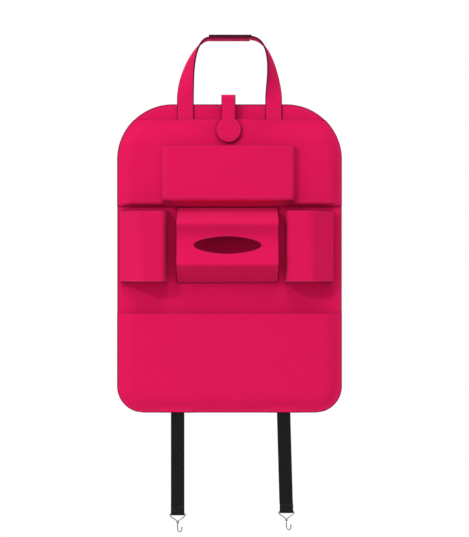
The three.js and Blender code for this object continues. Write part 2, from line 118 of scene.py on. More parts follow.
TAB = {"x": -0.0018, "width": 0.025, "root_bottom": 0.500, "top": 0.5645, "depth": 0.0207,
       "radius": 0.023, "centre": 0.502, "patch": 0.030, "patch_thickness": 0.0015,
       "rows": (0.010, 0.014)}
STRAP = {"width": 0.024, "thickness": 0.0015, "anchor_top": 0.024, "hinge": -0.0024,
         "sewn_end": 0.014, "box_low": 0.0045, "box_high": 0.0125, "loop_inner": 0.0014}
STRAP_SIDES = {
    "left": {"x": -0.0923, "lean": 0.0, "length": 0.183},
    "right": {"x": 0.0963, "lean": 0.005, "length": 0.179},
}
HOOK = {"wire": 0.0009, "half": 0.0134, "shoulder": 0.004, "neck": 0.013, "shank": 0.0265,
        "throat": 0.005, "tip": 0.003, "ball": 0.0014, "turn": math.radians(40)}
STRAP_DEPTH = FELT + GAP + STRAP["thickness"] / 2
# Places across a strip as shares of its width, how far from a fold line the elastic is split, and how
# finely a line of stitches is laid on a surface.
ACROSS = np.linspace(-0.5, 0.5, 9)
BLEND_REACH = 0.0045
LINE_STEP = 0.002


# ---- Numbers and curves ----

def smooth(t):
    t = np.clip(t, 0.0, 1.0)
    return t * t * (3.0 - 2.0 * t)


def ramp(value, start, width):
    """A soft step from 0 to 1 that begins at start and takes a width."""
    return smooth((value - start) / width)


def lerp(a, b, t):
    return a + (b - a) * t


def unit(vectors):
    return vectors / np.linalg.norm(vectors, axis=-1, keepdims=True)


def place(x, depth, height):
    """Points of the frame from their places across, their depths and their heights."""
    x, depth, height = np.broadcast_arrays(np.asarray(x, float), depth, height)
    return np.stack([x, -depth, BOTTOM + height], axis=-1)


def ripple(x, z, height, seed, size):
    """A gentle unevenness up to about a height, made of crossed waves about as long as size."""
    rng = np.random.default_rng(seed)
    total = 0.0
    waves = 6
    for _ in range(waves):
        angle = rng.uniform(0, math.pi)
        length = size * rng.uniform(0.7, 1.7)
        phase = rng.uniform(0, 2 * math.pi)
        total = total + np.sin(2 * math.pi * (x * math.cos(angle) + z * math.sin(angle)) / length + phase)
    return height * total / math.sqrt(2 * waves)


def folded(corners, curve_points, run_step):
    """A folded strip's profile: straight runs between corners, each rounded by its own radius."""
    corners = [(np.array(c[:2], float), c[2] if len(c) > 2 else 0.0) for c in corners]
    points = [corners[0][0]]
    for (before, _), (corner, radius), (after, _) in zip(corners, corners[1:], corners[2:]):
        start = corner + (before - corner) * (radius / np.linalg.norm(before - corner))
        end = corner + (after - corner) * (radius / np.linalg.norm(after - corner))
        points += straight(points[-1], start, run_step)
        for t in np.linspace(0, 1, curve_points + 1)[1:]:
            points.append((1 - t) ** 2 * start + 2 * t * (1 - t) * corner + t * t * end)
    points += straight(points[-1], corners[-1][0], run_step)
    return np.array(points)


def straight(start, end, step):
    """The points after start on the way to end, about a step apart."""
    count = max(1, math.ceil(np.linalg.norm(end - start) / step))
    return [lerp(start, end, t) for t in np.linspace(0, 1, count + 1)[1:]]


def lengths_along(points):
    steps = np.linalg.norm(np.diff(points, axis=0), axis=1)
    return np.concatenate([[0.0], np.cumsum(steps)])


def points_at(points, along, wanted):
    return np.stack([np.interp(wanted, along, points[:, k]) for k in range(points.shape[1])], axis=-1)


def spread(points, count):
    """As many points spaced evenly along a line, with both its ends among them."""
    along = lengths_along(points)
    return points_at(points, along, np.linspace(0, along[-1], count))


def chain(runs, count):
    """count + 1 points along joined runs, spread by length, with each run's ends among them."""
    sizes = [lengths_along(run)[-1] for run in runs]
    shares = np.round(np.cumsum(sizes) / sum(sizes) * count).astype(int)
    counts = np.diff(np.concatenate([[0], shares]))
    points = [runs[0][0]]
    for run, number in zip(runs, counts):
        points += list(spread(run, number + 1)[1:])
    return np.array(points)


def arc(centre, radius, start, end, count=48):
    """Points of part of a circle, from one angle to another."""
    angles = np.linspace(start, end, count)
    return np.array(centre) + radius * np.stack([np.cos(angles), np.sin(angles)], axis=-1)


# ---- Surfaces ----

def edge_distance(x, z):
    """How far inside the panel's outline a point of its face is."""
    radius = np.where(z > HEIGHT / 2, TOP_RADIUS, BOTTOM_RADIUS)
    across = np.abs(x) - (HALF - radius)
    along = np.abs(z - HEIGHT / 2) - (HEIGHT / 2 - radius)
    beyond = np.hypot(np.maximum(across, 0), np.maximum(along, 0))
    within = np.minimum(np.maximum(across, along), 0)
    return radius - beyond - within


def half_width(z):
    """Half of the panel's width at a height, narrower where its corners are round."""
    ends = ((BOTTOM_RADIUS, BOTTOM_RADIUS - z), (TOP_RADIUS, z - (HEIGHT - TOP_RADIUS)))
    return min(HALF - r + math.sqrt(max(r ** 2 - max(past, 0) ** 2, 0)) for r, past in ends)


def pinch(distance):
    """Felt thickness at a distance from its edge: drawn together along the seam."""
    return FELT * (1 - PINCH * np.exp(-((distance - SEAM) / PINCH_WIDTH) ** 2))


def flat_at(depth):
    """A surface at one depth in front of the panel's back face."""
    return lambda x, z: np.full(np.shape(x), depth)


panel_depth = flat_at(FELT / 2)
sewn_depth = flat_at(SEWN)
paddle_depth = flat_at(TAB["depth"])


def tablet_depth(x, z):
    """Middle of the tablet pocket's front, above its low bottom gusset."""
    return SEWN + TABLET["rise"] * ramp(edge_distance(x, z), *TABLET["side"])


def tablet_surface(x, z):
    """The tablet pocket's front, slack round the phone pocket and drawn in either side of the tab."""
    t = TABLET
    low = np.clip((z - t["bottom"]) / t["gusset"], 0, 1)
    gusset = 1 - (1 - low) ** t["gusset_power"]
    slack = ramp(z, *t["slack_above"]) * ramp(edge_distance(x, z), *t["slack_inside"])
    closing = ramp(np.abs(x - TAB["x"]), *t["beside_tab"]) * ramp(z, *t["closing_above"])
    phone_middle = (PHONE["left"] + PHONE["right"]) / 2
    past_phone = ramp(np.abs(x - phone_middle), *t["beside_phone"]) + ramp(z, *t["above_phone"])
    wave = ripple(x, z, *t["wave"]) * slack * np.clip(past_phone, 0, 1)
    return SEWN + (tablet_depth(x, z) - SEWN + wave) * gusset * (1 - t["closing"] * closing)


def magazine_surface(x, z):
    """The magazine pocket's front, lifted by the strap ends behind it and slack above them."""
    m = MAGAZINE
    side = ramp(edge_distance(x, z), *m["side"])
    over = [1 - ramp(np.abs(x - s["x"]), *m["beside_strap"]) for s in STRAP_SIDES.values()]
    bulge = np.maximum((STRAP["thickness"] + 2 * GAP) * np.maximum(*over), m["rise"] * side)
    return SEWN + bulge + ripple(x, z, *m["wave"]) * side * ramp(z, *m["slack_above"])


# ---- Meshes ----

def surface_normals(points, faces):
    """Unit normals at the points, averaged from the faces by their areas."""
    corners = points[faces]
    facing = np.cross(corners[:, 2] - corners[:, 0], corners[:, 3] - corners[:, 1])
    total = np.zeros_like(points)
    for k in range(4):
        np.add.at(total, faces[:, k], facing)
    return total / np.maximum(np.linalg.norm(total, axis=1, keepdims=True), 1e-12)


def open_edges(faces):
    """The edges that only one face has, each in that face's own direction."""
    edges = np.concatenate([np.stack([faces[:, k], faces[:, (k + 1) % 4]], axis=1) for k in range(4)])
    edges = edges[edges[:, 0] != edges[:, 1]]
    seen = {(int(a), int(b)) for a, b in edges}
    return [(a, b) for a, b in seen if (b, a) not in seen]


def inward_directions(points, normals, edges):
    """For each point of the open edge, the way into the surface, longer in a corner."""
    inward = {}
    for a, b in edges:
        step = unit(points[b] - points[a])
        for v in (a, b):
            inward.setdefault(v, []).append(unit(np.cross(normals[v], step)))
    result = {}
    for v, sides in inward.items():
        total = np.sum(sides, axis=0)
        length = np.linalg.norm(total)
        result[v] = total / length * min(1.5, len(sides) / length)
    return result


def make_object(name, points, faces, materials, face_slots=None, sharp=math.radians(50)):
    mesh = bpy.data.meshes.new(name)
    tidy = [list(dict.fromkeys(int(v) for v in face)) for face in faces]
    mesh.from_pydata([tuple(p) for p in points], [], tidy)
    for material in materials:
        mesh.materials.append(material)
    if face_slots is not None:
        mesh.polygons.foreach_set("material_index", np.asarray(face_slots, np.int32))
    mesh.polygons.foreach_set("use_smooth", np.ones(len(tidy), bool))
    mesh.update()
    mesh.set_sharp_from_angle(angle=sharp)
    piece = bpy.data.objects.new(name, mesh)
    bpy.context.scene.collection.objects.link(piece)
    return piece


def rim_slot(point, materials):
    """Cut edges are in the second material, or in the third along the panel's own outline; these are darker
    felts that paint shade along the cut edges.
    """
    if len(materials) == 3 and edge_distance(point[0], point[2] - BOTTOM) < RIM:
        return 2
    return min(1, len(materials) - 1)


def joined_edge(points, rims, into, square):
    """Inward directions and roundness at rim points, kept square where another piece carries on."""
    keep = np.array([0.03 if v in square else 1.0 for v in rims])
    joined = [k for k, v in enumerate(rims) if v in square]
    if not joined:
        return into, keep[:, None]
    spots = points[[rims[k] for k in joined]]
    far = np.linalg.norm(spots - spots[0], axis=1)
    start = spots[np.argmax(far)]
    along = unit(spots[np.argmax(np.linalg.norm(spots - start, axis=1))] - start)
    for k in joined:
        share = np.dot(into[k], along)
        if abs(share) > 0.3:
            into[k] = math.copysign(1.0, share) * along
            keep[k] = 1.0
    return into, keep[:, None]


def thicken(name, points, faces, thickness, materials, rounding=EDGE_ROUND, square=()):
    """A closed sheet around a surface, its cut edge rounded and in its own darker material, which paints
    shade along the edge.

    The points whose numbers are in square keep a square edge, where another piece carries on.
    """
    points = np.asarray(points, float)
    faces = np.asarray(faces)
    thickness = np.broadcast_to(np.asarray(thickness, float), len(points))
    normals = surface_normals(points, faces)
    edges = open_edges(faces)
    inward = inward_directions(points, normals, edges)
    rims = sorted(inward)
    order = {v: k for k, v in enumerate(rims)}
    into, keep = joined_edge(points, rims, np.array([inward[v] for v in rims]), square)
    half = thickness[:, None] / 2
    rim_half = half[rims]
    layers = []
    for side in (1, -1):
        face = points + side * half * normals
        face[rims] += into * rounding * keep
        layers.append(face)
    rings = []
    for side, angles in ((1, (30, 60, 90)), (-1, (90, 60, 30))):
        for angle in np.radians(angles):
            drop = np.minimum(rounding, 0.85 * rim_half) * keep * (1 - math.cos(angle))
            inset = into * rounding * keep * (1 - math.sin(angle))
            rings.append(points[rims] + inset + side * (rim_half - drop) * normals[rims])
    count = len(points)
    rim_count = len(rims)
    strips = [rims] + [2 * count + k * rim_count + np.arange(rim_count) for k in range(len(rings))]
    strips.append(count + np.array(rims))
    all_faces = [list(face) for face in faces]
    all_faces += [[count + v for v in face[::-1]] for face in faces]
    slots = [0] * len(all_faces)
    for a, b in edges:
        i, j = order[a], order[b]
        rim = rim_slot(points[a], materials)
        for upper, lower in zip(strips, strips[1:]):
            all_faces.append([upper[j], upper[i], lower[i], lower[j]])
            slots.append(rim)
    return make_object(name, np.concatenate(layers + rings), all_faces, materials, slots)


def grid_faces(rows, columns):
    """Faces of a grid of points numbered row by row."""
    index = np.arange(rows * columns).reshape(rows, columns)
    quads = [index[:-1, :-1], index[:-1, 1:], index[1:, 1:], index[1:, :-1]]
    return np.stack([q.ravel() for q in quads], axis=1)


def grid_sheet(name, grid, thickness, materials, square_rows=(), rounding=EDGE_ROUND):
    """A closed sheet around a grid of points of its middle surface."""
    grid = np.asarray(grid, float)
    rows, columns = grid.shape[:2]
    square = {(row % rows) * columns + column for row in square_rows for column in range(columns)}
    if np.ndim(thickness) == 2:
        thickness = np.asarray(thickness).ravel()
    return thicken(name, grid.reshape(-1, 3), grid_faces(rows, columns), thickness, materials,
                   rounding, square)


def ring_patch(first, second, insets, reach):
    """Flat points and faces inside two outlines that share their ends.

    Rings at the given distances inside the outlines close on a line through the middle.
    """
    count = len(first) - 1
    share = reach / np.linalg.norm(first[-1] - first[0])
    spine = np.array([lerp(first[0], first[-1], lerp(share, 1 - share, k / count))
                      for k in range(count + 1)])
    points = []
    rings = []
    for inset in insets:
        scale = 1 - inset / reach
        ring = np.concatenate([lerp(spine, first, scale), lerp(spine, second, scale)[-2:0:-1]])
        rings.append(len(points) + np.arange(len(ring)))
        points += list(ring)
    middle = len(points) + np.arange(count + 1)
    points += list(spine)
    faces = []
    for outer, inner in zip(rings, rings[1:]):
        following = np.roll(np.arange(len(outer)), -1)
        faces.append(np.stack([outer, outer[following], inner[following], inner], axis=1))
    last = rings[-1]
    a = last[: count + 1]
    b = np.concatenate([last[:1], last[:count - 1:-1]])
    faces.append(np.stack([a[:-1], a[1:], middle[1:], middle[:-1]], axis=1))
    faces.append(np.stack([b[1:], b[:-1], middle[:-1], middle[1:]], axis=1))
    return np.array(points), np.concatenate(faces)


def insets_to(reach, first_step=0.0016, growth=1.22, last_step=0.009):
    """Distances from an edge inward: close together by the seam, wider apart further in."""
    insets = [0.0, 0.0016, 0.0029, 0.0039, 0.0047, 0.0055, 0.0063, 0.0071, 0.0082]
    step = first_step
    while insets[-1] + step < 0.97 * reach:
        insets.append(insets[-1] + step)
        step = min(step * growth, last_step)
    return insets


def ring_faces(rings, sides):
    """Faces of a closed round shape whose points are rings of as many sides, with both its ends."""
    faces = []
    for start in range(0, (rings - 1) * sides, sides):
        for k in range(sides):
            a, b = start + k, start + (k + 1) % sides
            faces.append([a, a + sides, b + sides, b])
    faces.append(list(range(sides)))
    faces.append(list(range(rings * sides - 1, (rings - 1) * sides - 1, -1)))
    return faces


# ---- Stitching ----

def stitch_run(points, normals, pitch=STITCH_PITCH):
    """Middles, directions and outward normals of the stitches along a line that lies on a surface."""
    points = np.asarray(points, float)
    normals = np.broadcast_to(np.asarray(normals, float), points.shape)
    along = lengths_along(points)
    count = max(1, int(along[-1] / pitch))
    middles = (np.arange(count) + 0.5) * along[-1] / count
    before, after = (points_at(points, along, middles + part) for part in (-pitch / 4, pitch / 4))
    ahead = unit(after - before)
    outward = points_at(normals, along, middles)
    outward -= ahead * np.sum(outward * ahead, axis=1, keepdims=True)
    return points_at(points, along, middles), ahead, unit(outward)


def stitching(name, body, runs, material, length=STITCH, thread=THREAD):
    """One piece of thread work: each stitch bows out of the felt and dives back in at its ends."""
    middles, ahead, outward = (np.concatenate([run[k] for run in runs]) for k in range(3))
    beside = np.cross(ahead, outward)
    stations = np.array([-1.0, -0.8, -0.4, 0.0, 0.4, 0.8, 1.0])
    radii = thread / 2 * np.array([0.35, 0.8, 1.0, 1.0, 1.0, 0.8, 0.35])
    lift = thread * (0.30 - 0.75 * stations ** 4)
    sides = 8
    angles = np.linspace(0, 2 * math.pi, sides, endpoint=False)
    section = (np.cos(angles)[:, None, None], np.sin(angles)[:, None, None])
    rings = []
    for station, radius, up in zip(stations, radii, lift):
        centre = middles + ahead * station * length / 2 + outward * up
        rings.append(centre + radius * (section[0] * beside + section[1] * outward))
    points = np.transpose(np.array(rings), (2, 0, 1, 3)).reshape(-1, 3)
    per_stitch = len(stations) * sides
    shape = ring_faces(len(stations), sides)
    every = [[start * per_stitch + v for v in face] for start in range(len(middles)) for face in shape]
    piece = make_object(name, points, every, [material])
    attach(piece, body)
    return piece


def surface_run(path, depth_at, facing=1.0, lift=FELT * (1 - PINCH) / 2):
    """Stitches along a flat path of (x, height) points, on the front or back of a felt surface."""
    path = np.asarray(path, float)
    x, z = path.T
    small = 0.0008
    slope_x = (depth_at(x + small, z) - depth_at(x - small, z)) / (2 * small)
    slope_z = (depth_at(x, z + small) - depth_at(x, z - small)) / (2 * small)
    normals = unit(np.stack([-slope_x, -np.ones_like(x), -slope_z], axis=-1))
    points = place(x, depth_at(x, z), z) + facing * lift * normals
    return stitch_run(points, facing * normals)


def box_lines(middle, reach, low, high, crossed=True):
    """The sides of a stitched box, and one diagonal if it is crossed, each by its two ends."""
    corners = [(middle - reach, low), (middle + reach, low), (middle + reach, high)]
    corners += [(middle - reach, high), corners[0]]
    if crossed:
        corners.append(corners[2])
    return [np.array(ends) for ends in zip(corners, corners[1:])]


# ---- Materials ----

def new_material(name, values):
    """A material with its even values set, its shader, its nodes, and the place in the piece."""
    material = bpy.data.materials.new(name)
    material.use_nodes = True
    tree = material.node_tree
    shader = tree.nodes["Principled BSDF"]
    for socket, value in values.items():
        shader.inputs[socket].default_value = value
    return material, tree, shader, add_node(tree, "ShaderNodeTexCoord").outputs["Object"]


def dress(tree, shader, colour, normal):
    """Give a shader its uneven colour and its relief."""
    tree.links.new(colour, shader.inputs["Base Color"])
    tree.links.new(normal, shader.inputs["Normal"])


def add_node(tree, kind, inputs=None, **settings):
    made = tree.nodes.new(kind)
    for key, value in settings.items():
        setattr(made, key, value)
    for key, value in (inputs or {}).items():
        if isinstance(value, bpy.types.NodeSocket):
            tree.links.new(value, made.inputs[key])
        else:
            made.inputs[key].default_value = value
    return made


def noise(tree, vector, scale, detail=3.0, roughness=0.6, distortion=0.0):
    return add_node(tree, "ShaderNodeTexNoise", {
        "Vector": vector, "Scale": scale, "Detail": detail, "Roughness": roughness,
        "Distortion": distortion}).outputs["Fac"]


def between(tree, value, low, high, to_low=0.0, to_high=1.0):
    return add_node(tree, "ShaderNodeMapRange", {
        "Value": value, "From Min": low, "From Max": high, "To Min": to_low,
        "To Max": to_high}).outputs["Result"]


def mix_colours(tree, factor, a, b):
    made = add_node(tree, "ShaderNodeMix", data_type="RGBA")
    inputs = {k.identifier: k for k in made.inputs}
    for key, value in (("Factor_Float", factor), ("A_Color", a), ("B_Color", b)):
        if isinstance(value, bpy.types.NodeSocket):
            tree.links.new(value, inputs[key])
        else:
            inputs[key].default_value = value
    return next(o for o in made.outputs if o.identifier == "Result_Color")


def bump(tree, height, distance, strength, before=None):
    inputs = {"Height": height, "Distance": distance, "Strength": strength}
    if before is not None:
        inputs["Normal"] = before
    return add_node(tree, "ShaderNodeBump", inputs).outputs["Normal"]


def rgb(hex_code, factor):
    """A linear colour from a display one, lightened or darkened by a factor."""
    channels = [int(hex_code[k:k + 2], 16) / 255 for k in (0, 2, 4)]
    linear = [c / 12.92 if c <= 0.04045 else ((c + 0.055) / 1.055) ** 2.4 for c in channels]
    return (*(min(1.0, c * factor) for c in linear), 1.0)


def shaded(tree, factor, colour, dark, light):
    """One dye, darkened and lightened where the factor is low and high."""
    return mix_colours(tree, factor, rgb(colour, dark), rgb(colour, light))


def strand_layer(tree, place_in, turn):
    """Fine fibres drawn out along one direction, turned in the plane that the panel lies in."""
    laid = add_node(tree, "ShaderNodeMapping", {"Vector": place_in, "Rotation": (0.3, turn, 0.2),
                                                "Scale": (1.0, 1.0, 7.0)}, vector_type="TEXTURE")
    return noise(tree, laid.outputs["Vector"], 2300.0, distortion=1.2)


def felt_material(name, colour, sheen):
    """Pressed wool felt: fibres matted in crossing layers, a soft bloom, and slightly uneven dye."""
    material, tree, shader, place_in = new_material(name, {
        "Roughness": 0.95, "Specular IOR Level": 0.06, "Sheen Weight": sheen, "Sheen Roughness": 0.6,
        "Sheen Tint": (1.0, 0.30, 0.50, 1.0)})
    cloud = between(tree, noise(tree, place_in, 22.0), 0.35, 0.65)
    matted = noise(tree, place_in, 900.0, detail=4.0, roughness=0.65, distortion=0.6)
    matting = between(tree, matted, 0.35, 0.65)
    surface = mix_colours(tree, 0.5, shaded(tree, cloud, colour, 0.95, 1.04),
                          shaded(tree, matting, colour, 0.84, 1.12))
    height = bump(tree, matting, 0.0002, 0.35)
    for turn in (0.35, 1.45, 2.5):
        strands = strand_layer(tree, place_in, turn)
        tint = shaded(tree, between(tree, strands, 0.35, 0.68), colour, 0.72, 1.26)
        surface = mix_colours(tree, 0.33, surface, tint)
        height = bump(tree, strands, 0.00016, 0.45, height)
    dress(tree, shader, surface, height)
    return material


def thread_material(name, colour):
    """Twisted polyester sewing thread."""
    material, tree, shader, place_in = new_material(name, {
        "Roughness": 0.55, "Sheen Weight": 0.2, "Specular IOR Level": 0.4})
    turned = add_node(tree, "ShaderNodeMapping", {"Vector": place_in, "Rotation": (0.6, 0.5, 0.8)})
    twist = add_node(tree, "ShaderNodeTexWave", {"Vector": turned.outputs["Vector"], "Scale": 700.0,
                                                 "Distortion": 0.6}).outputs["Fac"]
    tint = shaded(tree, twist, colour, 0.85, 1.1)
    dress(tree, shader, tint, bump(tree, twist, 0.0001, 0.5))
    return material


def tape_material(name, colour, fuzzy):
    """Hook-and-loop tape: a close weave, or the matted loops of the soft half."""
    material, tree, shader, place_in = new_material(name, {
        "Roughness": 0.85, "Specular IOR Level": 0.2, "Sheen Weight": 0.06, "Sheen Roughness": 0.5})
    curl = 3.0 if fuzzy else 0.4
    grain = noise(tree, place_in, 900.0, detail=5.0, roughness=0.7, distortion=curl)
    weave = add_node(tree, "ShaderNodeTexWave", {"Vector": place_in, "Scale": 260.0,
                                                 "Distortion": 0.4}).outputs["Fac"]
    tint = shaded(tree, between(tree, grain, 0.3, 0.7), colour, 0.7, 1.3)
    fine = bump(tree, grain, 0.0002, 0.4)
    dress(tree, shader, tint, bump(tree, grain if fuzzy else weave, 0.0003, 0.6, fine))
    return material


def elastic_material(name, colour):
    """Knitted black elastic, dusty along its ribs."""
    material, tree, shader, place_in = new_material(name, {
        "Roughness": 0.85, "Specular IOR Level": 0.15, "Sheen Weight": 0.03, "Sheen Roughness": 0.45})
    squeezed = add_node(tree, "ShaderNodeMapping", {"Vector": place_in, "Scale": (3.2, 1.0, 1.0)})
    knit = noise(tree, squeezed.outputs["Vector"], 520.0, detail=4.0, distortion=0.8)
    cloud = noise(tree, place_in, 60.0)
    ribs = shaded(tree, between(tree, knit, 0.35, 0.7), colour, 0.55, 1.7)
    worn = mix_colours(tree, between(tree, cloud, 0.4, 0.7, 0.0, 0.5), ribs, rgb(colour, 1.5))
    dress(tree, shader, worn, bump(tree, knit, 0.0003, 0.6))
    return material


def wire_material(name, colour):
    """Nickel-plated steel wire with drawing marks and a little tarnish."""
    material, tree, shader, place_in = new_material(name, {"Metallic": 1.0, "Roughness": 0.24})
    tarnish = noise(tree, place_in, 240.0, detail=4.0)
    scratches = noise(tree, place_in, 2600.0, detail=2.0)
    tint = shaded(tree, between(tree, tarnish, 0.4, 0.7), colour, 1.0, 0.7)
    tree.links.new(between(tree, tarnish, 0.35, 0.7, 0.16, 0.42), shader.inputs["Roughness"])
    dress(tree, shader, tint, bump(tree, scratches, 0.00005, 0.3))
    return material


PINK = "cd1150"
FELT_LOOK = felt_material("pink_felt", PINK, 0.05)
# The two cut-edge felts paint shade on the cut edges: a dark maroon outline on most edges, and a slightly
# darker pink on the pockets' edges inside the panel's outline.
EDGE_SHADE_LOOK = felt_material("cut_felt_edge_painted_shade", "5f0d30", 0.02)
POCKET_EDGE_SHADE_LOOK = felt_material("pocket_cut_edge_painted_shade", "b4144c", 0.05)
THREAD_LOOK = thread_material("pink_thread", "bf1450")
LAP_THREAD_LOOK = thread_material("maroon_thread", "4a0a20")
# The tapes' maroon is their own dye, darkened further as painted shade for the dark band where the handle's
# straps overlap.
WOVEN_LOOK = tape_material("woven_hook_tape", "3f081b", False)
LOOP_LOOK = tape_material("loop_tape", "480a20", True)
BRISTLE_LOOK = tape_material("hook_patch", "a01244", True)
ELASTIC_LOOK = elastic_material("black_elastic", "101010")
BLACK_THREAD_LOOK = thread_material("black_thread", "2a2a28")
WIRE_LOOK = wire_material("nickel_wire", "8e8e92")
FELT_LOOKS = [FELT_LOOK, EDGE_SHADE_LOOK]
POCKET_LOOKS = [FELT_LOOK, POCKET_EDGE_SHADE_LOOK, EDGE_SHADE_LOOK]


# ---- Camera, floor and light ----

def add_camera():
    data = bpy.data.cameras.new("camera")
    data.sensor_width = 36.0
    data.lens = 82.7
    camera = bpy.data.objects.new("camera", data)
    camera.location = (0.0089, -2.2, -0.407)
    camera.rotation_euler = (math.pi / 2, 0, 0)
    bpy.context.scene.collection.objects.link(camera)
    bpy.context.scene.camera = camera


def add_lamp(name, away, distance, size, power, target=(0.0, 0.0, -0.42)):
    """A soft lamp that shines at the target from a direction, at a distance."""
    data = bpy.data.lights.new(name, "AREA")
    data.shape = "DISK"
    data.size = size
    data.energy = power
    lamp = bpy.data.objects.new(name, data)
    way = Vector(away).normalized()
    lamp.location = Vector(target) + way * distance
    lamp.rotation_euler = way.to_track_quat("Z", "Y").to_euler()
    bpy.context.scene.collection.objects.link(lamp)


def add_world(above, below, seen):
    """A pale surround that gives more light from above than from below, and looks an even white."""
    world = bpy.data.worlds.new("studio")
    world.use_nodes = True
    tree = world.node_tree
    background = tree.nodes["Background"]
    background.inputs["Color"].default_value = (1.0, 1.0, 1.0, 1.0)
    way = add_node(tree, "ShaderNodeTexCoord").outputs["Generated"]
    upward = add_node(tree, "ShaderNodeSeparateXYZ", {"Vector": way}).outputs["Z"]
    light = between(tree, upward, -0.25, 0.25, below, above)
    ray = add_node(tree, "ShaderNodeLightPath").outputs["Is Camera Ray"]
    blend = add_node(tree, "ShaderNodeMix", {"Factor": ray, "A": light, "B": seen}, data_type="FLOAT")
    tree.links.new(blend.outputs["Result"], background.inputs["Strength"])
    bpy.context.scene.world = world


def add_floor():
    """A pale floor well below the hooks."""
    bpy.ops.mesh.primitive_circle_add(vertices=96, radius=1.6, fill_type="NGON", location=(0, 0, -1.5))
    floor = bpy.context.object
    floor.name = "studio_floor"
    look = new_material("studio_floor", {"Base Color": (0.86, 0.86, 0.86, 1.0), "Roughness": 0.9})
    floor.data.materials.append(look[0])


# ---- Back panel and flat pockets ----

def panel_half(side):
    """Half of the panel's outline, from the middle of its bottom edge to the middle of its top."""
    low = arc((HALF - BOTTOM_RADIUS, BOTTOM_RADIUS), BOTTOM_RADIUS, -math.pi / 2, 0)
    high = arc((HALF - TOP_RADIUS, HEIGHT - TOP_RADIUS), TOP_RADIUS, 0, math.pi / 2)
    start = np.array([0.0, 0.0])
    end = np.array([0.0, HEIGHT])
    runs = [np.array([start, low[0]]), low, np.array([low[-1], high[0]]), high, np.array([high[-1], end])]
    return [run * np.array([side, 1.0]) for run in runs]


def add_back_panel():
    reach = HALF
    flat, faces = ring_patch(chain(panel_half(1), 290), chain(panel_half(-1), 290), insets_to(reach), reach)
    x, z = flat.T
    thickness = pinch(edge_distance(x, z))
    piece = thicken("felt_back_panel", place(x, panel_depth(x, z), z), faces, thickness, FELT_LOOKS)
    return settle_sheet(piece, "back_panel")


def settle(piece, body, slot, *nodes):
    """A piece rides on its body and stands in for its CAD nodes; its material slot is not used."""
    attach(piece, body)
    if nodes:
        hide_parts(*nodes)
    return piece


def settle_sheet(piece, node):
    settle(piece, "panel", "felt", node)
    return piece


def pocket_outline(bottom, top):
    """The lower and upper halves of a full-width pocket's outline, from its left side to its right."""
    middle = (bottom + top) / 2
    heights = np.linspace(top, bottom, 90)
    halves = []
    for part in (heights[heights <= middle], heights[heights > middle][::-1]):
        right = np.array([[half_width(z), z] for z in (middle, *part)])
        left = right * np.array([-1.0, 1.0])
        halves.append([left, np.array([left[-1], right[-1]]), right[::-1]])
    return halves


def add_full_width_pocket(name, node, bottom, top, surface):
    lower, upper = pocket_outline(bottom, top)
    reach = (top - bottom) / 2
    flat, faces = ring_patch(chain(lower, 190), chain(upper, 190), insets_to(reach), reach)
    x, z = flat.T
    distance = np.where(z > top - 2 * SEAM, 1.0, edge_distance(x, z))
    thickness = pinch(np.minimum(distance, 1.0))
    piece = thicken(name, place(x, surface(x, z), z), faces, thickness, POCKET_LOOKS)
    return settle_sheet(piece, node)


def phone_surface_grid():
    """The phone pocket's middle surface: a tray folded up at its sides and its bottom."""
    p = PHONE
    across = folded([(p["left"], 0), (p["left"] + p["lean"], p["rise"], p["fold"]),
                     (p["right"] - p["lean"], p["rise"], p["fold"]), (p["right"], 0)], 6, 0.005)
    upward = folded([(p["bottom"], 0), (p["bottom"] + p["lean"], p["rise"], p["fold"]),
                     (p["top"], p["rise"])], 6, 0.005)
    x, u = across.T
    z, v = upward.T
    x, z = np.meshgrid(x, z)
    lift = np.outer(v, u) / p["rise"]
    free = ramp(lift / p["rise"], *p["free"]) * ramp(z, *p["slack_above"])
    bow = p["bow"] * free * np.sin(math.pi * (x - p["left"]) / (p["right"] - p["left"]))
    wave = free * ripple(x, z, *p["wave"])
    base = tablet_depth(x, z) + FELT + GAP + p["ease"]
    return place(x, base + lift + bow + wave, z)


def add_phone_pocket():
    piece = grid_sheet("felt_phone_pocket", phone_surface_grid(), FELT, POCKET_LOOKS)
    settle_sheet(piece, "phone_pocket_front")


# ---- Bottle pockets ----

def bottle_plan(side, crease):
    s, b = BOTTLE_SIDES[side], BOTTLE
    inward = s["inward"]
    return folded([
        (s["outer"] + inward * b["allowance"], SEWN),
        (s["outer"] + inward * b["gusset_lean"], SEWN, b["seam_fold"]),
        (s["outer"], s["gusset"], b["gusset_fold"]),
        (crease, b["depth"] - FELT / 2, b["fold"]),
        (s["inner"] - inward * b["inner_slope"], b["inner_depth"] - FELT / 2, b["fold"]),
        (s["inner"], FELT + GAP),
    ], 8, 0.004)


def bottle_grid(side):
    s, b = BOTTLE_SIDES[side], BOTTLE
    rows = []
    for v in np.linspace(0, 1, 36):
        corners = bottle_plan(side, lerp(s["crease_bottom"], s["crease_top"], v))
        length = lengths_along(corners)
        along = np.linspace(0, length[-1], 110)
        plan = points_at(corners, length, along)
        height = lerp(b["bottom"], b["top"], v)
        free = smooth(along / along[-1] * 3) * smooth((1 - along / along[-1]) * 3)
        dish = b["dish"] * math.sin(math.pi * v) * free
        uneven = ripple(along, height, *s["wave"]) * free
        front = plan[:, 1] > s["gusset"] + 0.002
        rows.append(place(plan[:, 0], plan[:, 1] - np.where(front, dish + uneven * 0.8, 0.0), height))
    return np.array(rows)


def add_bottle_pocket(side):
    grid = bottle_grid(side)
    piece = grid_sheet(f"felt_bottle_pocket_{side}", grid, FELT, FELT_LOOKS)
    length = lengths_along(bottle_plan(side, BOTTLE_SIDES[side]["crease_bottom"]))[-1]
    settle_sheet(piece, f"bottle_pocket_{side}")
    return grid


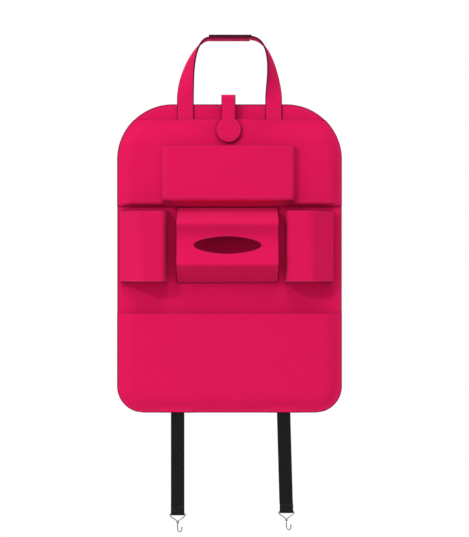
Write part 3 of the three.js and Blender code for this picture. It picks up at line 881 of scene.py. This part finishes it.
def floor_outline(side):
    s, b = BOTTLE_SIDES[side], BOTTLE
    inward = s["inward"]
    inside = FELT + GAP
    eased = inside + b["floor_ease"]
    lip = s["outer"] + inward * (b["allowance"] + b["floor_ease"])
    face = s["outer"] + inward * (b["gusset_lean"] + inside)
    front = s["inner"] - inward * (eased + b["inner_slope"] / 2)
    return np.array([
        (lip, inside),
        (lip, inside + eased),
        (face, inside + eased),
        (face, s["gusset"]),
        (s["crease_bottom"] + inward * eased, b["depth"] - eased),
        (front - inward * b["floor_corner"], b["inner_depth"] - inside),
        (front, b["inner_depth"] - inside - b["floor_corner"]),
        (s["inner"] - inward * inside, inside),
    ])


def add_bottle_floor(side):
    corners = floor_outline(side)
    one = [corners[k:k + 2] for k in range(2, 5)]
    other = [corners[[a, b]] for a, b in ((2, 1), (1, 0), (0, 7), (7, 6), (6, 5))]
    insets, reach = [0, 0.0018, 0.004, 0.008, 0.012], 0.016
    flat, faces = ring_patch(chain(one, 30), chain(other, 30), insets, reach)
    x, depth = flat.T
    height = BOTTLE["bottom"] + BOTTLE["floor_lift"] + FELT / 2
    piece = thicken(f"felt_bottle_floor_{side}", place(x, depth, height), faces, FELT, FELT_LOOKS)
    settle_sheet(piece, f"bottle_floor_{side}")


# ---- Tissue holder ----

def tissue_profile():
    t = TISSUE
    middle = (t["fold_top"] + t["fold_bottom"]) / 2
    return folded([
        (SEWN, t["seam_top"]),
        (SEWN, t["seam_top"] - t["seam_width"], t["seam_fold"]),
        (t["depth"], t["fold_top"], t["fold"]),
        (t["depth"] - 1.3 * t["sag"], lerp(middle, t["fold_top"], 0.36), 0.011),
        (t["depth"] - 0.9 * t["sag"], lerp(middle, t["fold_bottom"], 0.36), 0.012),
        (t["depth"], t["fold_bottom"], t["fold"]),
        (SEWN, t["seam_bottom"] + t["seam_width"], t["seam_fold"]),
        (SEWN, t["seam_bottom"]),
    ], 10, 0.003)


def slot_point(centre, angle):
    """A point of the slot's edge: an ellipse drawn out to slight points at its ends."""
    way = np.stack([np.cos(angle), np.sin(angle)], axis=-1)
    size = np.array([TISSUE["slot_width"], TISSUE["slot_tall"]])
    return centre + np.sign(way) * np.abs(way) ** TISSUE["slot_point"] * size / 2


def tissue_flat_mesh(columns, rows, centre):
    """Flat points and faces of the holder's felt, with rings of faces round the slot."""
    left, right = 8, len(columns) - 9
    low, high = (int(np.argmin(np.abs(rows - centre[1] - side * TISSUE["slot_frame"]))) for side in (-1, 1))
    index = np.full((len(rows), len(columns)), -1)
    points = []
    faces = []
    for i, j in np.ndindex(index.shape):
        if not (low < i < high and left < j < right):
            index[i, j] = len(points)
            points.append((columns[j], rows[i]))
    for i, j in np.ndindex(len(rows) - 1, len(columns) - 1):
        if not (low <= i < high and left <= j < right):
            faces.append([index[i, j], index[i, j + 1], index[i + 1, j + 1], index[i + 1, j]])
    loop = [(low, j) for j in range(left, right)] + [(i, right) for i in range(low, high)]
    loop += [(high, j) for j in range(right, left, -1)] + [(i, left) for i in range(high, low, -1)]
    outer = np.array([index[i, j] for i, j in loop])
    frame_points = np.array([points[k] for k in outer])
    across, up = ((frame_points - centre) / np.ptp(frame_points, axis=0)).T
    hole = slot_point(centre, np.arctan2(up, across))
    steps = 6
    for k in range(1, steps + 1):
        ring = lerp(frame_points, hole, (k / steps) ** 0.8)
        inner = len(points) + np.arange(len(ring))
        points += [tuple(p) for p in ring]
        faces += [[a, b, c, d] for a, b, c, d in zip(outer, np.roll(outer, -1), np.roll(inner, -1), inner)]
        outer = inner
    return np.array(points), np.array(faces)


def add_tissue_holder():
    t = TISSUE
    profile = tissue_profile()
    along = lengths_along(profile)
    columns = t["centre"] + np.linspace(-t["width"] / 2, t["width"] / 2, 61)
    slot_row = np.interp(-t["slot_height"], -profile[:, 1], along)
    flat, faces = tissue_flat_mesh(columns, along, np.array([t["centre"], slot_row]))
    x, s = flat.T
    on_profile = points_at(profile, along, s)
    depth, height = on_profile.T
    wave = ripple(x, s, *t["wave"]) * ramp(depth, *t["off_seam"])
    piece = thicken("felt_tissue_holder", place(x, depth + wave, height), faces, FELT, FELT_LOOKS)
    settle_sheet(piece, "tissue_holder")


# ---- Handle ----

def handle_stations(side, top, start, end, count, offset=0.0):
    """Middles and width directions along half of the handle, from its hinge line to its middle."""
    h = HANDLE
    sign = -1.0 if side == "left" else 1.0
    control = place(sign * np.array([h["foot_x"], h["foot_x"],
                                     h["foot_x"] - h["shoulder_in"][side], h["lap_half"]]),
                    SEWN, np.array([h["hinge"], h["hinge"] + h["upright"][side], top, top]))
    stations = []
    for t in np.linspace(start, end, count):
        weights = np.array([(1 - t) ** 3, 3 * t * (1 - t) ** 2, 3 * t * t * (1 - t), t ** 3])
        slopes = np.array([-(1 - t) ** 2, (1 - t) ** 2 - 2 * t * (1 - t), 2 * t * (1 - t) - t * t, t * t])
        tangent = unit(slopes @ control)
        away = np.array([tangent[2], 0.0, -tangent[0]]) * sign
        twisted = max(0.0, (t - h["flat_foot"]) / (1 - h["flat_foot"]))
        turn = math.pi / 2 * (1 - (1 - twisted) ** h["twist_power"])
        width = away * math.cos(turn) + np.array([0.0, math.sin(turn), 0.0])
        stations.append((weights @ control + away * offset, width))
    return stations


def ribbon_grid(stations, width):
    """A strip's points, from the middles and width directions of its stations."""
    return np.array([centre + ACROSS[:, None] * width * direction for centre, direction in stations])


def handle_levels():
    """Heights of the left strap's end, the loop tape and the hook tape on it, and the right strap."""
    h = HANDLE
    left = h["inside_top"] + FELT / 2
    loop = h["inside_top"] + FELT + GAP + h["tape"] / 2
    hook = loop + h["tape"] + GAP
    right = hook - h["tape"] / 2 - GAP - FELT / 2
    return left, loop, hook, right


def lap_stations(start, end, level, count):
    backward = np.array([0.0, 1.0, 0.0])
    return [(place(x, SEWN, level), backward) for x in np.linspace(start, end, count)]


def add_handle_strap(side, level, end, lap_end):
    h = HANDLE
    x = -h["foot_x"] if side == "left" else h["foot_x"]
    upright = np.array([1.0 if side == "right" else -1.0, 0.0, 0.0])
    foot = [(place(x, SEWN, z), upright) for z in np.linspace(h["foot_bottom"], h["hinge"], 14)[:-1]]
    stations = foot + handle_stations(side, level, 0, end, 60)
    if lap_end is not None:
        stations += lap_stations(-h["lap_half"], lap_end, level, 16)[1:]
    piece = grid_sheet(f"felt_handle_{side}", ribbon_grid(stations, h["width"]), FELT, FELT_LOOKS)
    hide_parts(f"handle_foot_{side}", f"handle_strap_{side}")
    start = place(x, SEWN, h["hinge"] - BLEND_REACH)
    finish = place(x, SEWN, h["hinge"] + BLEND_REACH)
    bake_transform(piece)


def add_handle_tapes(loop_level, hook_level, right_level):
    """The loop tape on the left strap's end, and the hook tongue that runs back along the right strap."""
    h = HANDLE
    lap = lap_stations(-h["lap_half"], h["lap_half"], loop_level, 12)
    seat = FELT / 2 + GAP + h["tape"] / 2
    tail = handle_stations("right", right_level, 1 - h["tongue_tail"], 1, 14, seat)[::-1]
    tongue = lap_stations(-h["lap_half"], h["lap_half"], hook_level, 16)[:-1]
    for name, stations, look in (("loop_tape", lap, LOOP_LOOK), ("hook_tape", tongue + tail, WOVEN_LOOK)):
        grid = ribbon_grid(stations, h["width"])
        piece = grid_sheet(name, grid, h["tape"], [look], rounding=TAPE_ROUND)
        settle(piece, "handle", "tape", f"handle_{name}")


# ---- Closing tab ----

def tab_levels():
    """Radius of the tab's loop, depth of its middle and height where its bend begins."""
    radius = (TAB["depth"] - SEWN) / 2
    return radius, SEWN + radius, TAB["top"] - FELT / 2 - radius


def add_tab_root():
    radius, loop_depth, loop_height = tab_levels()
    rise = [(SEWN, z) for z in np.linspace(TAB["root_bottom"], loop_height, 20)[:-1]]
    angles = np.linspace(math.pi, 0, 28)
    loop = [(loop_depth + radius * math.cos(a), loop_height + radius * math.sin(a)) for a in angles]
    grid = [place(TAB["x"] + ACROSS * TAB["width"], d, z) for d, z in rise + loop]
    piece = grid_sheet("felt_tab_root", grid, FELT, FELT_LOOKS, square_rows=(-1,), rounding=TAB_ROUND)
    settle(piece, "panel", "felt", "tab_anchor")


def flap_side(side, top):
    """Half of the flap's outline, from the middle of its top edge round to the paddle's foot."""
    radius, centre = TAB["radius"], TAB["centre"]
    edge = TAB["x"] + side * TAB["width"] / 2
    shoulder = math.asin(TAB["width"] / 2 / radius)
    neck = centre + radius * math.cos(shoulder)
    angles = np.linspace(shoulder, math.pi, 40)
    paddle = np.stack([TAB["x"] + side * radius * np.sin(angles), centre + radius * np.cos(angles)], axis=1)
    across = np.array([[TAB["x"], top], [edge, top]])
    return chain([across, np.array([[edge, top], [edge, neck]]), paddle], 110)


def add_tab_flap():
    """The flap: a straight tongue that widens into a round paddle."""
    _, _, top = tab_levels()
    reach = TAB["width"] / 2
    insets = [0.0, 0.0012, 0.0024, 0.0036, 0.0052, 0.0072, 0.0095]
    flat, faces = ring_patch(flap_side(-1, top), flap_side(1, top), insets, reach)
    x, z = flat.T
    square = set(np.flatnonzero(z > top - 1e-6))
    piece = thicken("felt_tab_flap", place(x, TAB["depth"], z), faces, FELT, FELT_LOOKS,
                    rounding=TAB_ROUND, square=square)
    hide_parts("tab_flap")
    tuple(place(TAB["x"], TAB["depth"], top + 0.001))
    tuple(place(TAB["x"], TAB["depth"], top - 0.009))
    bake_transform(piece)


def add_patch(name, node, body, material):
    low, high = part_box(node)
    depth = -(low.y + high.y) / 2
    across = np.linspace(low.x, high.x, 16)
    grid = [place(across, depth, z - BOTTOM) for z in np.linspace(low.z, high.z, 16)]
    piece = grid_sheet(name, grid, TAB["patch_thickness"], [material], rounding=TAPE_ROUND)
    settle(piece, body, "tape", node)


# ---- Elastic straps and hooks ----

def elastic_sheet(name, line, square_rows, rib=0.0016):
    """Webbing along a line: ribbed across, with fine scallops down both edges."""
    along = lengths_along(line)
    stations = np.arange(0, along[-1] + rib / 8, rib / 4)
    middles = points_at(line, along, np.minimum(stations, along[-1]))
    wave = np.cos(2 * math.pi * stations / rib)[:, None]
    reach = ACROSS * STRAP["width"] * (1 + 0.012 * wave)
    grid = middles[:, None, :] + reach[:, :, None] * np.array([1.0, 0.0, 0.0])
    thickness = STRAP["thickness"] * (0.94 + 0.10 * wave) * np.ones(len(ACROSS))
    piece = grid_sheet(name, grid, thickness, [ELASTIC_LOOK], square_rows, ELASTIC_ROUND)
    return piece


def strap_line(side, heights, forward=0.0):
    s = STRAP_SIDES[side]
    heights = np.asarray(heights, float)
    x = s["x"] + s["lean"] * np.maximum(0, -heights) / s["length"]
    return place(x, STRAP_DEPTH + forward, heights)


def add_strap(side):
    """The elastic above the fold and the elastic below it."""
    s = STRAP_SIDES[side]
    thickness = STRAP["thickness"]
    split = STRAP["hinge"] - BLEND_REACH
    loop_outer = STRAP["loop_inner"] + thickness
    eye = loop_outer - s["length"]
    top_of_end = eye + STRAP["sewn_end"]

    line = strap_line(side, [STRAP["anchor_top"], split])
    piece = elastic_sheet(f"elastic_root_{side}", line, (-1,))
    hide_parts(f"strap_anchor_{side}")
    hinge = strap_line(side, [STRAP["hinge"] + 0.003, STRAP["hinge"] - 0.003])
    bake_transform(piece)

    heights = np.linspace(split, top_of_end, 60)
    forward = thickness / 2 * smooth((top_of_end + 0.016 - heights) / 0.014)
    piece = elastic_sheet(f"elastic_strap_run_{side}", strap_line(side, heights, forward), (0, -1))
    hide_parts(f"elastic_strap_{side}")
    ends = strap_line(side, [split - 0.001, top_of_end + 0.0005])
    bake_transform(piece)

    add_strap_end(side, eye)


def add_strap_end(side, eye):
    """The strap's lower end, folded back round the hook's top bar and sewn to itself."""
    s = STRAP_SIDES[side]
    thickness = STRAP["thickness"]
    radius = STRAP["loop_inner"] + thickness / 2
    centre = place(s["x"] + s["lean"], STRAP_DEPTH, eye)
    half = thickness / 2
    meet = math.acos(half / radius)
    join = radius * math.sin(meet) + 0.001
    front = [(half, z) for z in np.linspace(STRAP["sewn_end"], join, 10)]
    bend = [(radius * math.cos(a), radius * math.sin(a)) for a in np.linspace(meet, -math.pi - meet, 30)]
    back = [(-half, z) for z in np.linspace(join, STRAP["sewn_end"] - 0.001, 10)]
    line = np.array([centre + np.array([0.0, -d, z]) for d, z in front + bend + back])
    piece = elastic_sheet(f"elastic_folded_end_{side}", line, (0,))
    settle(piece, f"loop_end_{side}", "elastic", f"strap_end_{side}")
    runs = []
    box = box_lines(0.0, STRAP["width"] / 2 - INSET["webbing"], STRAP["box_low"], STRAP["box_high"])
    for facing in (1.0, -1.0):
        for line in box:
            face = [centre + np.array([x, -facing * (thickness + 0.00005), z]) for x, z in line]
            runs.append(stitch_run(face, (0.0, -facing, 0.0), 0.0026))
    threads = stitching(f"strap_end_stitches_{side}", f"loop_end_{side}", runs, BLACK_THREAD_LOOK,
                        0.002, 0.0005)


def tube(points, radius, sides=14):
    """Points and faces of a round wire along a line."""
    points = np.asarray(points, float)
    tangents = unit(np.gradient(points, axis=0))
    normal = np.cross(tangents[0], (0.3, 0.9, 0.2))
    frames = []
    for tangent in tangents:
        normal = unit(normal - tangent * np.dot(normal, tangent))
        frames.append((normal, np.cross(tangent, normal)))
    angles = np.linspace(0, 2 * math.pi, sides, endpoint=False)
    rings = [p + radius * (np.cos(angles)[:, None] * n + np.sin(angles)[:, None] * b)
             for p, (n, b) in zip(points, frames)]
    faces = [face[:1] + face[:0:-1] for face in ring_faces(len(points), sides)]
    return np.concatenate(rings), faces


def join_shapes(shapes):
    points, faces = [], []
    for shape_points, shape_faces in shapes:
        start = sum(len(p) for p in points)
        points.append(shape_points)
        faces += [[start + v for v in face] for face in shape_faces]
    return np.concatenate(points), faces


def ball(centre, radius, rings=10, sides=14):
    """Points and faces of a small ball."""
    points = []
    for down in np.linspace(0.02, math.pi - 0.02, rings):
        for a in np.linspace(0, 2 * math.pi, sides, endpoint=False):
            way = (math.sin(down) * math.cos(a), math.sin(down) * math.sin(a), math.cos(down))
            points.append(centre + radius * np.array(way))
    return np.array(points), ring_faces(rings, sides)


def add_hook(side):
    """A wire triangle through the strap's folded end, bound at its neck, with an open hook below."""
    s, h = STRAP_SIDES[side], HOOK
    eye = STRAP["loop_inner"] + STRAP["thickness"] - s["length"]
    centre = place(s["x"] + s["lean"], STRAP_DEPTH, eye)
    gap = h["wire"] - 0.0001
    leg = [(gap, -h["neck"] - 0.003), (gap, -h["neck"], 0.0015),
           (h["half"], -h["shoulder"], 0.002), (h["half"], 0, 0.002)]
    route = folded([(-x, *rest) for x, *rest in leg] + leg[::-1], 8, 0.002)
    triangle = tube([centre + np.array([x, 0.0, z]) for x, z in route], h["wire"])
    out = np.array([math.cos(h["turn"]), -math.sin(h["turn"]), 0.0])
    up = np.array([0.0, 0.0, 1.0])
    throat = [out * h["throat"] * (1 - math.cos(a)) - up * (h["shank"] + h["throat"] * math.sin(a))
              for a in np.linspace(0, math.pi, 24)]
    shank = [up * z for z in np.linspace(-h["neck"], -h["shank"], 10)[:-1]]
    tip = out * 2 * h["throat"] + up * (h["tip"] - h["shank"])
    hook = tube([centre + p for p in shank + throat + [tip]], h["wire"])
    wide, deep, pitch, bind = 1.6875 * h["wire"], 1.2 * h["wire"], 0.0011, 0.0007
    coil = [centre + np.array([wide * math.cos(a), deep * math.sin(a),
                               -h["neck"] - 0.0004 - pitch * a / (2 * math.pi)])
            for a in np.linspace(0, 6 * math.pi, 60)]
    binding = tube(coil, bind, 8)
    knob = ball(centre + tip, h["ball"])
    points, faces = join_shapes([triangle, hook, binding, knob])
    piece = make_object(f"nickel_hook_{side}", points, faces, [WIRE_LOOK], sharp=math.radians(70))
    settle(piece, f"hook_{side}", "wire", f"wire_hook_{side}")


# ---- Stitched seams ----

def outline_inside(distance):
    """The panel's outline, moved in by a distance, from the middle of its bottom edge right round."""
    high, low = TOP_RADIUS - distance, BOTTOM_RADIUS - distance
    right = np.concatenate([
        arc((HALF - BOTTOM_RADIUS, BOTTOM_RADIUS), low, -math.pi / 2, 0),
        arc((HALF - TOP_RADIUS, HEIGHT - TOP_RADIUS), high, 0, math.pi / 2),
    ])
    left = right[::-1] * np.array([-1.0, 1.0])
    loop = np.concatenate([[[0.0, distance]], right, left, [[0.0, distance]]])
    along = lengths_along(loop)
    return points_at(loop, along, np.arange(0, along[-1], 0.001))


def split_runs(path, wanted):
    """The stretches of a path whose points are wanted."""
    marks = np.flatnonzero(np.diff(np.concatenate([[0], wanted.astype(int), [0]])))
    return [path[a:b] for a, b in zip(marks[::2], marks[1::2]) if b - a > 5]


def perimeter_runs():
    path = outline_inside(SEAM)
    z = path[:, 1]
    clear, gusset = 0.0025, 0.010
    bands = [
        (z < MAGAZINE["top"] - clear, magazine_surface),
        ((z > MAGAZINE["top"] + clear) & (z < TABLET["bottom"] - clear), panel_depth),
        ((z > TABLET["bottom"] + gusset) & (z < TABLET["top"] - clear), tablet_surface),
        (z > TABLET["top"] + clear, panel_depth),
    ]
    runs = []
    for wanted, surface in bands:
        runs += [surface_run(part, surface) for part in split_runs(path, wanted)]
    runs.append(surface_run(path, panel_depth, facing=-1.0))
    return runs


def level_run(left, right, height, surface, facing=1.0):
    x = np.arange(left, right, LINE_STEP)
    return surface_run(np.stack([x, np.full_like(x, height)], axis=-1), surface, facing, FELT / 2)


def upright_run(x, low, high, surface, facing=1.0):
    z = np.arange(low, high, LINE_STEP)
    return surface_run(np.stack([np.full_like(z, x), z], axis=-1), surface, facing, FELT / 2)


def through_runs(middle, reach, height):
    """A level row of stitches on the front of what is sewn down, and the same on the back."""
    faces = ((sewn_depth, 1.0), (panel_depth, -1.0))
    return [level_run(middle - reach, middle + reach, height, surface, facing) for surface, facing in faces]


def phone_front(x, z):
    return tablet_depth(x, z) + FELT + GAP + PHONE["ease"] + PHONE["rise"]


def pocket_runs():
    p, t = PHONE, TISSUE
    inset, reach = INSET["pocket"], HALF - INSET["pocket_end"]
    left, right, low = p["left"] + inset, p["right"] - inset, p["bottom"] + inset
    runs = [
        level_run(-reach, reach, TABLET["bottom"] + inset, tablet_surface),
        level_run(left, right, low, phone_front),
        upright_run(left, low, p["top"] - INSET["mouth"], phone_front),
        upright_run(right, low, p["top"] - INSET["mouth"], phone_front),
    ]
    for height in (t["seam_top"] - INSET["seam"], t["seam_bottom"] + INSET["seam"]):
        runs += through_runs(t["centre"], t["width"] / 2 - INSET["mouth"], height)
    runs.append(level_run(-reach, reach, TABLET["bottom"] + INSET["seam"], panel_depth, -1.0))
    for s in BOTTLE_SIDES.values():
        for x in (s["outer"] + s["inward"] * INSET["gusset"], s["inner"]):
            runs.append(upright_run(x, BOTTLE["bottom"], BOTTLE["top"], panel_depth, -1.0))
    return runs


def bottle_floor_runs(grid):
    """The seam that joins a bottle pocket's wall to its floor, seen low on the wall's outside."""
    row = grid[1]
    outward = unit(np.cross(np.gradient(row, axis=0), grid[2] - row))
    if outward[len(row) // 2][1] > 0:
        outward = -outward
    shown = slice(16, len(row) - 2)
    return stitch_run((row + outward * FELT / 2)[shown], outward[shown])


def foot_runs():
    """Crossed boxes on the handle's feet: on the front above the tablet pocket, and on the back."""
    h = HANDLE
    runs = []
    reach = h["width"] / 2 - INSET["foot"]
    low, high = h["foot_bottom"] + INSET["foot"], HEIGHT - INSET["foot_top"]
    faces = [(max(low, TABLET["top"] + INSET["mouth"]), sewn_depth, 1.0), (low, panel_depth, -1.0)]
    for x in (-h["foot_x"], h["foot_x"]):
        for bottom, surface, facing in faces:
            box = box_lines(x, reach, bottom, high)
            runs += [surface_run(line, surface, facing, FELT / 2) for line in box]
    return runs


def tab_runs():
    """The tab's rows of stitches, above the mouth of the tablet pocket."""
    runs = []
    for above in TAB["rows"]:
        runs += through_runs(TAB["x"], TAB["width"] / 2 - INSET["foot"], TABLET["top"] + above)
    return runs


def paddle_runs():
    reach = TAB["patch"] / 2 - INSET["patch"]
    box = box_lines(TAB["x"], reach, TAB["centre"] - reach, TAB["centre"] + reach, False)
    return [surface_run(line, paddle_depth, 1.0, FELT / 2) for line in box]


def lap_runs(hook_level, left_level):
    h = HANDLE
    top = hook_level + h["tape"] / 2
    under = left_level - FELT / 2
    runs = []
    reach = h["lap_half"] - INSET["lap"]
    aside = h["width"] / 2 - INSET["lap"]
    for depth in (SEWN - aside, SEWN + aside):
        for height, facing in ((top, 1.0), (under, -1.0)):
            ends = place(np.array([-reach, reach]), depth, height)
            runs.append(stitch_run(ends, (0.0, 0.0, facing)))
    return runs


# ---- The whole organiser ----

def build():
    add_back_panel()
    add_full_width_pocket("felt_tablet_pocket", "tablet_pocket_front", TABLET["bottom"], TABLET["top"],
                          tablet_surface)
    add_full_width_pocket("felt_magazine_pocket", "magazine_pocket_front", 0.0, MAGAZINE["top"],
                          magazine_surface)
    add_phone_pocket()
    add_tissue_holder()
    left_level, loop_level, hook_level, right_level = handle_levels()
    add_handle_strap("left", left_level, 1.0, HANDLE["lap_half"])
    add_handle_strap("right", right_level, HANDLE["lap_start"], None)
    add_handle_tapes(loop_level, hook_level, right_level)
    add_tab_root()
    add_tab_flap()
    add_patch("hook_patch", "tab_hook_patch", "tab", BRISTLE_LOOK)
    add_patch("loop_patch", "tab_loop_patch", "panel", LOOP_LOOK)
    floor_runs = []
    for side in ("left", "right"):
        floor_runs.append(bottle_floor_runs(add_bottle_pocket(side)))
        add_bottle_floor(side)
        add_strap(side)
        add_hook(side)
    stitching("perimeter_stitches", "panel", perimeter_runs(), THREAD_LOOK)
    stitching("pocket_stitches", "panel", pocket_runs() + floor_runs, THREAD_LOOK)
    stitching("foot_stitches", "panel", foot_runs() + tab_runs(), THREAD_LOOK)
    stitching("paddle_stitches", "tab", paddle_runs(), THREAD_LOOK)
    stitching("lap_stitches", "handle", lap_runs(hook_level, left_level), LAP_THREAD_LOOK)


bpy.context.scene.view_settings.view_transform = "Standard"
add_camera()
add_world(0.86, 0.40, 1.0)
add_floor()
add_lamp("key", (-0.68, -1.0, 0.64), 3.0, 0.30, 26.0)
add_lamp("top", (0.0, -0.75, 0.95), 3.2, 1.5, 31.5)
add_lamp("left", (-1.0, -0.8, 0.0), 1.7, 0.8, 4.5)
build()
